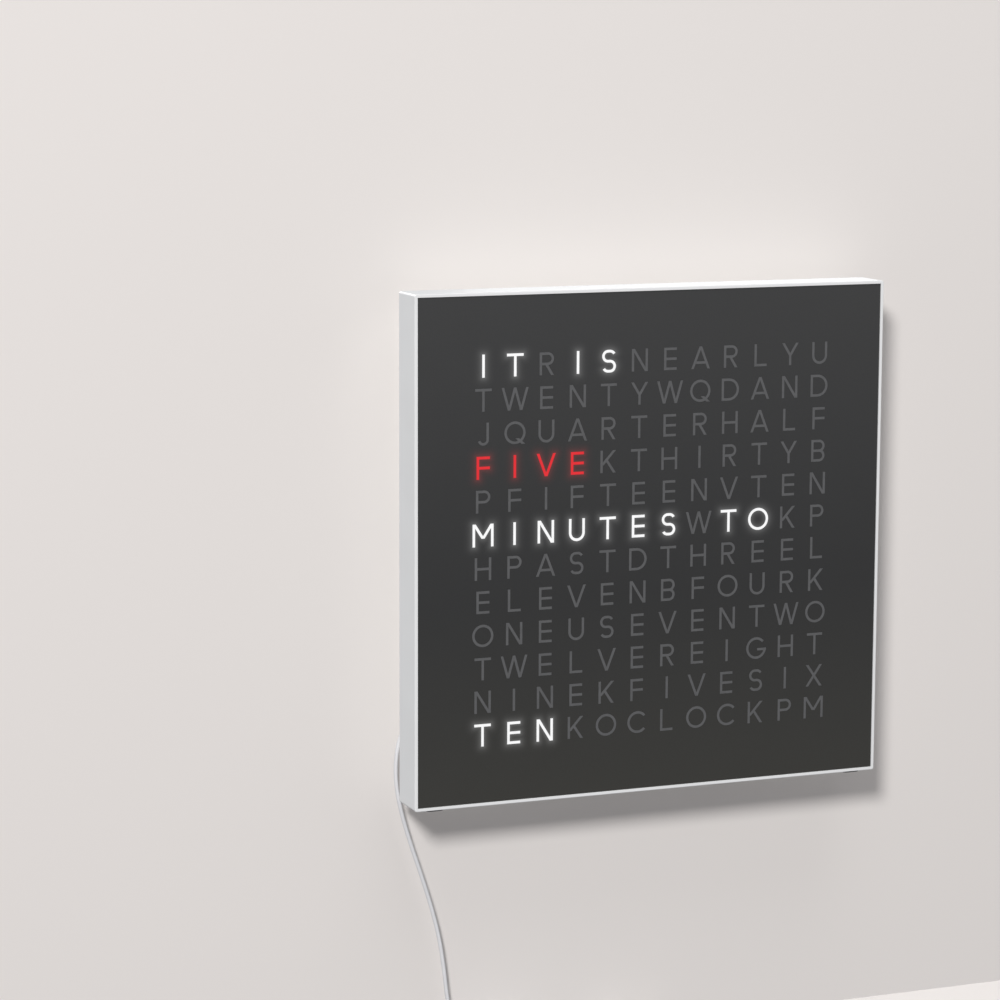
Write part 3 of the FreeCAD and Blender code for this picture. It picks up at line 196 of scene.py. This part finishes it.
def moulded(name, colour, roughness, grain=0.4 * MM, depth=0.006 * MM, mottle=0.04, soften=0.0, **sockets):
    """Moulded plastic or rubber: a fine spark texture, and faint changes of tone and gloss."""
    made, tree, shader, coords = surface(name, **sockets)
    broad = noise(tree, coords, 24 * MM, 5.0)
    fine = noise(tree, coords, grain, 4.0)
    tone = shades(tree, broad, scaled(colour, 1 - mottle), scaled(colour, 1 + mottle))
    tree.links.new(tone, shader.inputs["Base Color"])
    tree.links.new(between(tree, broad, roughness - 0.05, roughness + 0.05), shader.inputs["Roughness"])
    bump = add(tree, "Bump", {"Height": fine, "Strength": 0.6, "Distance": depth})
    if soften:
        edge = add(tree, "Bevel", {"Radius": soften}, samples=6)
        tree.links.new(edge.outputs["Normal"], bump.inputs["Normal"])
    tree.links.new(bump.outputs["Normal"], shader.inputs["Normal"])
    return made


def plated(name, colour, roughness, stretch, depth=0.002 * MM):
    """Bright metal with fine lines left by rolling or plating."""
    made, tree, shader, coords = surface(name, Metallic=1.0)
    lines = noise(tree, coords, 0.5 * MM, 3.0, stretch)
    stain = noise(tree, coords, 4 * MM, 4.0)
    tree.links.new(shades(tree, stain, scaled(colour, 0.86), colour), shader.inputs["Base Color"])
    tree.links.new(between(tree, lines, roughness - 0.08, roughness + 0.12), shader.inputs["Roughness"])
    bump = add(tree, "Bump", {"Height": lines, "Strength": 0.5, "Distance": depth})
    tree.links.new(bump.outputs["Normal"], shader.inputs["Normal"])
    return made


def turned(name, colour, roughness, centre):
    """Metal disc with rings brushed into it about a centre."""
    made, tree, shader, coords = surface(name, Metallic=1.0)
    place = add(tree, "Mapping", {"Vector": coords, "Location": -centre}).outputs["Vector"]
    waves = {"Vector": place, "Scale": 900.0, "Distortion": 1.5, "Detail": 3.0, "Detail Scale": 40.0}
    rings = add(tree, "TexWave", waves, wave_type="RINGS", rings_direction="Y").outputs["Fac"]
    stain = noise(tree, coords, 3 * MM)
    tree.links.new(shades(tree, stain, scaled(colour, 0.9), colour), shader.inputs["Base Color"])
    tree.links.new(between(tree, rings, roughness - 0.06, roughness + 0.08), shader.inputs["Roughness"])
    bump = add(tree, "Bump", {"Height": rings, "Strength": 0.4, "Distance": 0.004 * MM})
    tree.links.new(bump.outputs["Normal"], shader.inputs["Normal"])
    return made


def circuit_board(name, mask, track):
    """Solder mask over copper tracks that run up and across."""
    made, tree, shader, coords = surface(name, Roughness=0.38, Coat_Weight=0.3)
    turn = add(tree, "Mapping", {"Vector": coords, "Rotation": (math.pi / 2, 0.0, 0.0)}).outputs["Vector"]
    rows = {"Vector": turn, "Scale": 260.0, "Mortar Size": 0.035, "Brick Width": 1.6, "Row Height": 0.55}
    bricks = add(tree, "TexBrick", rows, offset=0.37).outputs["Fac"]
    wander = noise(tree, coords, 9 * MM, 1.0)
    mixed = add(tree, "Math", {0: bricks, 1: wander}, operation="MULTIPLY").outputs["Value"]
    tree.links.new(shades(tree, mixed, mask, track), shader.inputs["Base Color"])
    bump = add(tree, "Bump", {"Height": mixed, "Strength": 0.5, "Distance": 0.03 * MM})
    tree.links.new(bump.outputs["Normal"], shader.inputs["Normal"])
    return made


def face_material():
    """Matte dark panel, a little lighter at the top and towards the bottom from a painted reflection of the
    room, with light spread in it beside the lit letters.
    """
    made, tree, shader, coords = surface("face_matte_dark", Specular_IOR_Level=0.32)
    height = add(tree, "SeparateXYZ", {"Vector": coords}).outputs["Z"]
    up = {"Value": height, "From Min": -CLOCK_HALF, "From Max": CLOCK_HALF, "To Min": 0.0, "To Max": 1.0}
    climb = add(tree, "MapRange", up).outputs["Result"]
    # Painted reflection of the room: darkest a little below the middle, lighter and warmer at the bottom,
    # lightest at the top
    shade = add(tree, "ValToRGB", {"Fac": climb})
    shade.color_ramp.elements[0].color = (0.038, 0.037, 0.0325, 1.0)
    shade.color_ramp.elements[-1].color = (0.0435, 0.0435, 0.0435, 1.0)
    shade.color_ramp.elements.new(0.4).color = (0.0285, 0.0285, 0.0285, 1.0)
    speck = between(tree, noise(tree, coords, 0.5 * MM), 0.94, 1.06)
    tone = add(tree, "VectorMath", {0: shade.outputs["Color"], 3: speck}, operation="SCALE")
    tree.links.new(tone.outputs["Vector"], shader.inputs["Base Color"])
    tree.links.new(between(tree, noise(tree, coords, 20 * MM), 0.52, 0.6), shader.inputs["Roughness"])
    grain = noise(tree, coords, 0.25 * MM)
    bump = add(tree, "Bump", {"Height": grain, "Strength": 0.5, "Distance": 0.004 * MM})
    tree.links.new(bump.outputs["Normal"], shader.inputs["Normal"])
    spread = []
    for name, colour in (("glow_white", WHITE_SPREAD), ("glow_red", RED_SPREAD)):
        near = add(tree, "Attribute", {}, attribute_name=name).outputs["Fac"]
        spread.append(add(tree, "VectorMath", {0: colour, 3: near}, operation="SCALE").outputs["Vector"])
    light = add(tree, "VectorMath", {0: spread[0], 1: spread[1]}).outputs["Vector"]
    tree.links.new(light, shader.inputs["Emission Color"])
    shader.inputs["Emission Strength"].default_value = 1.0
    return made


def letter_material(name, colour, emission, strength):
    """Translucent letter: its own tone, and where it is lit, slightly uneven light from behind."""
    made, tree, shader, coords = surface(name, Roughness=0.5, Specular_IOR_Level=0.35)
    cloud = noise(tree, coords, 3.2 * MM, 2.0)
    tone = shades(tree, cloud, scaled(colour, 0.94), scaled(colour, 1.06))
    tree.links.new(tone, shader.inputs["Base Color"])
    if strength:
        glow = shades(tree, cloud, scaled(emission, 0.97), emission)
        tree.links.new(glow, shader.inputs["Emission Color"])
        shader.inputs["Emission Strength"].default_value = strength
    grain = noise(tree, coords, 0.25 * MM)
    bump = add(tree, "Bump", {"Height": grain, "Strength": 0.4, "Distance": 0.003 * MM})
    tree.links.new(bump.outputs["Normal"], shader.inputs["Normal"])
    return made


def webbing_material():
    """Hook-and-loop strap: short fibres over a ribbed band."""
    made, tree, shader, coords = surface("tie_webbing", Roughness=0.85, Sheen_Weight=0.4)
    fibres = noise(tree, coords, 0.35 * MM, 5.0, (1.0, 3.0, 1.0))
    tone = shades(tree, fibres, (0.012, 0.012, 0.014), (0.05, 0.05, 0.055))
    tree.links.new(tone, shader.inputs["Base Color"])
    bump = add(tree, "Bump", {"Height": fibres, "Strength": 0.8, "Distance": 0.15 * MM})
    tree.links.new(bump.outputs["Normal"], shader.inputs["Normal"])
    return made


def ribbon_material():
    """Flat cable of side-by-side wires, with one coloured edge."""
    made, tree, shader, coords = surface("ribbon_flat_cable", Roughness=0.5)
    across = add(tree, "SeparateXYZ", {"Vector": coords}).outputs["X"]
    turns = {0: across, 1: 2 * math.pi / WIRE_PITCH}
    ripple = add(tree, "Math", turns, operation="MULTIPLY").outputs["Value"]
    wires = add(tree, "Math", {0: ripple}, operation="SINE").outputs["Value"]
    edge_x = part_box("ribbon_cable")[0].x + COLOURED_EDGE
    edge = add(tree, "Math", {0: across, 1: edge_x}, operation="LESS_THAN").outputs["Value"]
    ramp = add(tree, "ValToRGB", {"Fac": edge})
    ramp.color_ramp.elements[0].color = (0.35, 0.35, 0.37, 1.0)
    ramp.color_ramp.elements[1].color = (0.45, 0.03, 0.03, 1.0)
    tree.links.new(ramp.outputs["Color"], shader.inputs["Base Color"])
    bump = add(tree, "Bump", {"Height": wires, "Strength": 0.6, "Distance": 0.15 * MM})
    tree.links.new(bump.outputs["Normal"], shader.inputs["Normal"])
    return made


def middle(node):
    low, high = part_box(node)
    return (low + high) / 2


def dress_nodes():
    """Gives every carried-over node its finish."""
    shell = (0.80, 0.80, 0.795)
    spark = (0.72, 0.72, 0.705)
    white = moulded("casing_satin_white", shell, 0.36, mottle=0.01, soften=0.25 * MM, Coat_Weight=0.08)
    cover = moulded("cover_spark_white", spark, 0.55, 0.8 * MM, 0.03 * MM, mottle=0.01, soften=0.3 * MM)
    button = moulded("button_grey", (0.30, 0.31, 0.32), 0.42, soften=0.2 * MM)
    black = moulded("black_moulding", (0.018, 0.018, 0.019), 0.45)
    chip = moulded("chip_moulding", (0.022, 0.022, 0.024), 0.6, grain=0.25 * MM, depth=0.02 * MM)
    pale = moulded("opal_sheet", (0.86, 0.86, 0.84), 0.6, Subsurface_Weight=0.3, Subsurface_Scale=0.002)
    baffle = moulded("baffle_white", (0.80, 0.80, 0.78), 0.6)
    cream = moulded("header_cream", (0.74, 0.70, 0.58), 0.5)
    package = moulded("light_package", (0.88, 0.85, 0.66), 0.4)
    foam = moulded("foam_tape", (0.10, 0.10, 0.10), 0.9, grain=0.7 * MM, depth=0.08 * MM)
    rubber = moulded("foot_rubber", (0.028, 0.028, 0.029), 0.72, grain=0.5 * MM, depth=0.02 * MM)
    lead = moulded("lead_moulding", (0.56, 0.555, 0.56), 0.42, grain=0.6 * MM, soften=0.2 * MM)
    tinned = plated("tinned_metal", (0.70, 0.70, 0.68), 0.3, (1.0, 1.0, 6.0))
    can = plated("can_metal", (0.66, 0.67, 0.68), 0.34, (1.0, 5.0, 1.0))
    nickel = plated("plug_shell_nickel", (0.66, 0.65, 0.62), 0.24, (0.15, 1.0, 1.0))
    screw = plated("screw_zinc", (0.50, 0.50, 0.51), 0.36, (1.0, 1.0, 1.0), 0.01 * MM)
    gold = plated("contact_gold", (0.83, 0.62, 0.28), 0.25, (1.0, 1.0, 1.0))
    cell = turned("cell_brushed_steel", (0.60, 0.60, 0.59), 0.32, middle("coin_cell"))
    unlit = letter_material("letter_unlit", (0.102, 0.102, 0.104), (0, 0, 0), 0.0)
    finishes = {
        white: ["casing"],
        cover: ["rear_cover", "battery_door"],
        button: ["hour_button", "minute_button", "dimmer_button"],
        black: ["hour_plunger", "minute_plunger", "dimmer_plunger", "cell_holder", "power_jack"],
        chip: ["driver_chips", "control_chip", "switch_bodies"],
        pale: ["diffuser", "usb_plug_tongue"],
        baffle: ["light_baffle"],
        cream: ["ribbon_headers"],
        package: ["light_packages"],
        foam: ["face_tape"],
        rubber: ["rubber_feet"],
        lead: ["lead_plug_body", "lead_strain_relief", "usb_strain_relief", "usb_plug_body"],
        tinned: ["driver_chip_legs", "control_chip_legs", "cell_base_contact", "cell_clip", "lead_plug_tip"],
        can: ["crystal", "capacitors"],
        nickel: ["usb_plug_shell"],
        screw: ["cover_screws", "lights_board_screws", "control_board_screws"],
        gold: ["jack_pin", "usb_plug_contacts"],
        cell: ["coin_cell"],
        circuit_board("lights_board_white", (0.74, 0.75, 0.72), (0.84, 0.85, 0.80)): ["lights_board"],
        circuit_board("control_board_green", (0.008, 0.075, 0.03), (0.02, 0.15, 0.06)): ["control_board"],
        face_material(): ["face_panel", "letter_centres"],
        unlit: ["letters_unlit"],
        letter_material("letter_lit_white", (0.42, 0.42, 0.42), (1.0, 1.0, 1.0), 0.58): ["letters_white"],
        letter_material("letter_lit_red", (0.35, 0.02, 0.022), (1.0, 0.015, 0.028), 0.45): ["letters_red"],
        webbing_material(): ["cord_tie"],
        ribbon_material(): ["ribbon_cable"],
    }
    for finish, names in finishes.items():
        for name in names:
            wear(nodes[name], finish)


def wear(piece, finish):
    """Puts one finish all over a piece."""
    if not piece.material_slots:
        piece.data.materials.append(finish)
    for place in piece.material_slots:
        place.material = finish


def bmesh_object(name, bm, finish):
    """Object at the origin from a finished bmesh."""
    mesh = bpy.data.meshes.new(name)
    bm.to_mesh(mesh)
    bm.free()
    made = bpy.data.objects.new(name, mesh)
    bpy.context.scene.collection.objects.link(made)
    wear(made, finish)
    return made


def lit_bands(names):
    """One rectangle in x and z round each row of lit letters."""
    rows = {}
    for name in names:
        for v in nodes[name].data.vertices:
            row = round(v.co.z / LETTER_PITCH - 0.5)
            x0, x1, z0, z1 = rows.get(row, (v.co.x, v.co.x, v.co.z, v.co.z))
            rows[row] = (min(x0, v.co.x), max(x1, v.co.x), min(z0, v.co.z), max(z1, v.co.z))
    reach = GLOW_REACH
    return [(x0 - reach, x1 + reach, z0 - reach, z1 + reach) for x0, x1, z0, z1 in rows.values()]


def near_letters(name):
    """Tree of a node's triangles, for distances to its letters."""
    mesh = nodes[name].data
    return BVHTree.FromPolygons([v.co for v in mesh.vertices], [p.vertices for p in mesh.polygons])


def cut_at(bm, geom, along, place):
    """Cuts part of a mesh with the plane square to an axis, at a place along that axis."""
    normal = Vector((0, 0, 0))
    normal[along] = 1.0
    return bmesh.ops.bisect_plane(bm, geom=geom, plane_co=normal * place, plane_no=normal, dist=MERGE)["geom"]


def glowing(node):
    """Dark piece cut finer round the lit words, whose points hold how near a lit letter is."""
    bm = bmesh.new()
    bm.from_mesh(nodes[node].data)
    bmesh.ops.remove_doubles(bm, verts=bm.verts, dist=MERGE)
    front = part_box(node)[0].y
    for x0, x1, z0, z1 in lit_bands(("letters_white", "letters_red")):
        for along, place in ((0, x0), (0, x1), (2, z0), (2, z1)):
            cut_at(bm, bm.verts[:] + bm.edges[:] + bm.faces[:], along, place)
        inside = []
        for face in bm.faces:
            centre = face.calc_center_median()
            if x0 < centre.x < x1 and z0 < centre.z < z1 and abs(centre.y - front) < MERGE:
                inside.append(face)
        verts = {v for face in inside for v in face.verts}
        edges = {edge for face in inside for edge in face.edges}
        part = list(verts) + list(edges) + inside
        for along, start, end in ((0, x0, x1), (2, z0, z1)):
            for i in range(1, int((end - start) / GLOW_STEP) + 1):
                part = cut_at(bm, part, along, start + i * GLOW_STEP)
    for name, lit in (("glow_white", "letters_white"), ("glow_red", "letters_red")):
        layer = bm.verts.layers.float.new(name)
        tree = near_letters(lit)
        for v in bm.verts:
            gap = tree.find_nearest(v.co, GLOW_REACH)[3]
            if gap is not None:
                v[layer] = (1 - gap / GLOW_REACH) * math.exp(-gap / GLOW_FADE)
    made = bmesh_object(node + "_lit", bm, nodes[node].material_slots[0].material)
    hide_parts(node)
    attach(made, "clock")


def coil_point(quarters):
    """Point of the coil's centre line after a number of quarter turns."""
    layer, into = divmod(quarters, LAYER_QUARTERS)
    spiral = COIL_OUT_R - COIL_PITCH * into / 4 if layer % 2 == 0 else COIL_IN_R + COIL_PITCH * into / 4
    if quarters >= COIL_LAYERS * LAYER_QUARTERS:
        layer, spiral = COIL_LAYERS - 1, COIL_OUT_R
    turn = round(quarters / LAYER_QUARTERS)
    level = layer
    if 0 < turn < COIL_LAYERS and abs(quarters - turn * LAYER_QUARTERS) < 1:
        share = (quarters - turn * LAYER_QUARTERS + 1) / 2
        level = turn - 1 + share * share * (3 - 2 * share)
    # The curve runs a little inside its points, so they lie further out
    step = math.pi / 2 / POINTS_PER_QUARTER
    radius = spiral * 2 / (1 + math.cos(step / 2) ** 2)
    angle = math.pi / 2 - quarters * math.pi / 2
    x = COIL_X + radius * math.cos(angle)
    y = COIL_Y + radius * math.sin(angle)
    return Vector((x, y, COIL_Z + level * COIL_PITCH))


def power_lead():
    """The cord in one line: down the wall, round its coil and out to the far plug."""
    count = COIL_LAYERS * LAYER_QUARTERS * POINTS_PER_QUARTER
    turns = [coil_point(i / POINTS_PER_QUARTER) for i in range(1, count)]
    points = HANGING_ROUTE + turns + TAIL_ROUTE
    curve = bpy.data.curves.new("power_lead", "CURVE")
    curve.dimensions = "3D"
    line = curve.splines.new("NURBS")
    line.points.add(len(points) - 1)
    for place, point in zip(line.points, points):
        place.co = (*point, 1.0)
    line.order_u = 3
    line.use_endpoint_u = True
    line.resolution_u = 4
    curve.bevel_depth = CORD_R
    curve.bevel_resolution = 4
    curve.use_fill_caps = True
    made = bpy.data.objects.new("power_lead", curve)
    bpy.context.scene.collection.objects.link(made)
    jacket = moulded("lead_jacket", (0.75, 0.745, 0.755), 0.36, grain=0.9 * MM, depth=0.01 * MM, mottle=0.02)
    curve.materials.append(jacket)
    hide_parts("cord_hanging", "cord_coil", "cord_tail")
    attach(made, "clock")
    on_lead = ["cord_tie", "lead_plug_tip", "lead_plug_body", "lead_strain_relief", "usb_strain_relief"]
    on_lead += ["usb_plug_body", "usb_plug_shell", "usb_plug_tongue", "usb_plug_contacts"]


def camera():
    """Camera at the photograph's place and lens."""
    ca, sa = math.cos(CAMERA_AZIMUTH), math.sin(CAMERA_AZIMUTH)
    ce, se = math.cos(CAMERA_ELEVATION), math.sin(CAMERA_ELEVATION)
    back = Vector((sa * ce, -ca * ce, se))
    right = back.cross(Vector((0, 0, -1))).normalized()
    up = back.cross(right)
    side = right * math.cos(CAMERA_ROLL) + up * math.sin(CAMERA_ROLL)
    head = up * math.cos(CAMERA_ROLL) - right * math.sin(CAMERA_ROLL)
    data = bpy.data.cameras.new("camera")
    data.lens = CAMERA_LENS
    data.sensor_width = CAMERA_SENSOR
    made = bpy.data.objects.new("camera", data)
    made.matrix_world = Matrix.Translation(CAMERA_PLACE) @ Matrix((side, head, back)).transposed().to_4x4()
    bpy.context.scene.collection.objects.link(made)
    bpy.context.scene.camera = made


def lamps():
    for name, azimuth, elevation, distance, size, power in LAMPS:
        a, e = math.radians(azimuth), math.radians(elevation)
        out = Vector((math.sin(a) * math.cos(e), -math.cos(a) * math.cos(e), math.sin(e)))
        data = bpy.data.lights.new(name, "AREA")
        data.shape = "DISK"
        data.size = size
        data.energy = power
        made = bpy.data.objects.new(name, data)
        made.location = AIM + out * distance
        made.rotation_euler = (-out).to_track_quat("-Z", "Y").to_euler()
        bpy.context.scene.collection.objects.link(made)
    world = bpy.data.worlds.new("soft_room")
    world.use_nodes = True
    world.node_tree.nodes["Background"].inputs["Color"].default_value = (*WORLD_COLOUR, 1.0)
    world.node_tree.nodes["Background"].inputs["Strength"].default_value = WORLD_STRENGTH
    bpy.context.scene.world = world
    bpy.context.scene.view_settings.view_transform = "Standard"


def backdrop():
    """Pale wall that is seen from the front alone, and pale floor."""
    paint, tree, shader, _ = surface("wall_paint", Base_Color=(*STAGE_COLOUR, 1.0), Roughness=0.9)
    hidden = add(tree, "BsdfTransparent", {}).outputs["BSDF"]
    behind = add(tree, "NewGeometry", {}).outputs["Backfacing"]
    shown = add(tree, "MixShader", {0: behind, 1: shader.outputs["BSDF"], 2: hidden}).outputs["Shader"]
    tree.links.new(shown, tree.nodes["Material Output"].inputs["Surface"])
    ground = surface("floor_paint", Base_Color=(*STAGE_COLOUR, 1.0), Roughness=0.9)[0]
    bm = bmesh.new()
    bmesh.ops.create_grid(bm, x_segments=1, y_segments=1, size=STAGE_SIZE / 2)
    bmesh.ops.rotate(bm, cent=(0, 0, 0), matrix=Matrix.Rotation(math.pi / 2, 3, "X"), verts=bm.verts)
    bmesh.ops.translate(bm, vec=(0, WALL_GAP, FLOOR_Z + STAGE_SIZE / 2), verts=bm.verts)
    wall = bmesh_object("wall", bm, paint)
    for kind in ("shadow", "diffuse", "glossy", "transmission"):
        setattr(wall, "visible_" + kind, False)
    bm = bmesh.new()
    bmesh.ops.create_grid(bm, x_segments=1, y_segments=1, size=STAGE_SIZE / 2)
    bmesh.ops.translate(bm, vec=(0, 0, FLOOR_Z), verts=bm.verts)
    floor = bmesh_object("floor", bm, ground)
    for kind in ("diffuse", "glossy"):
        setattr(floor, "visible_" + kind, False)


camera()
power_lead()
dress_nodes()
glowing("face_panel")
glowing("letter_centres")
lamps()
backdrop()
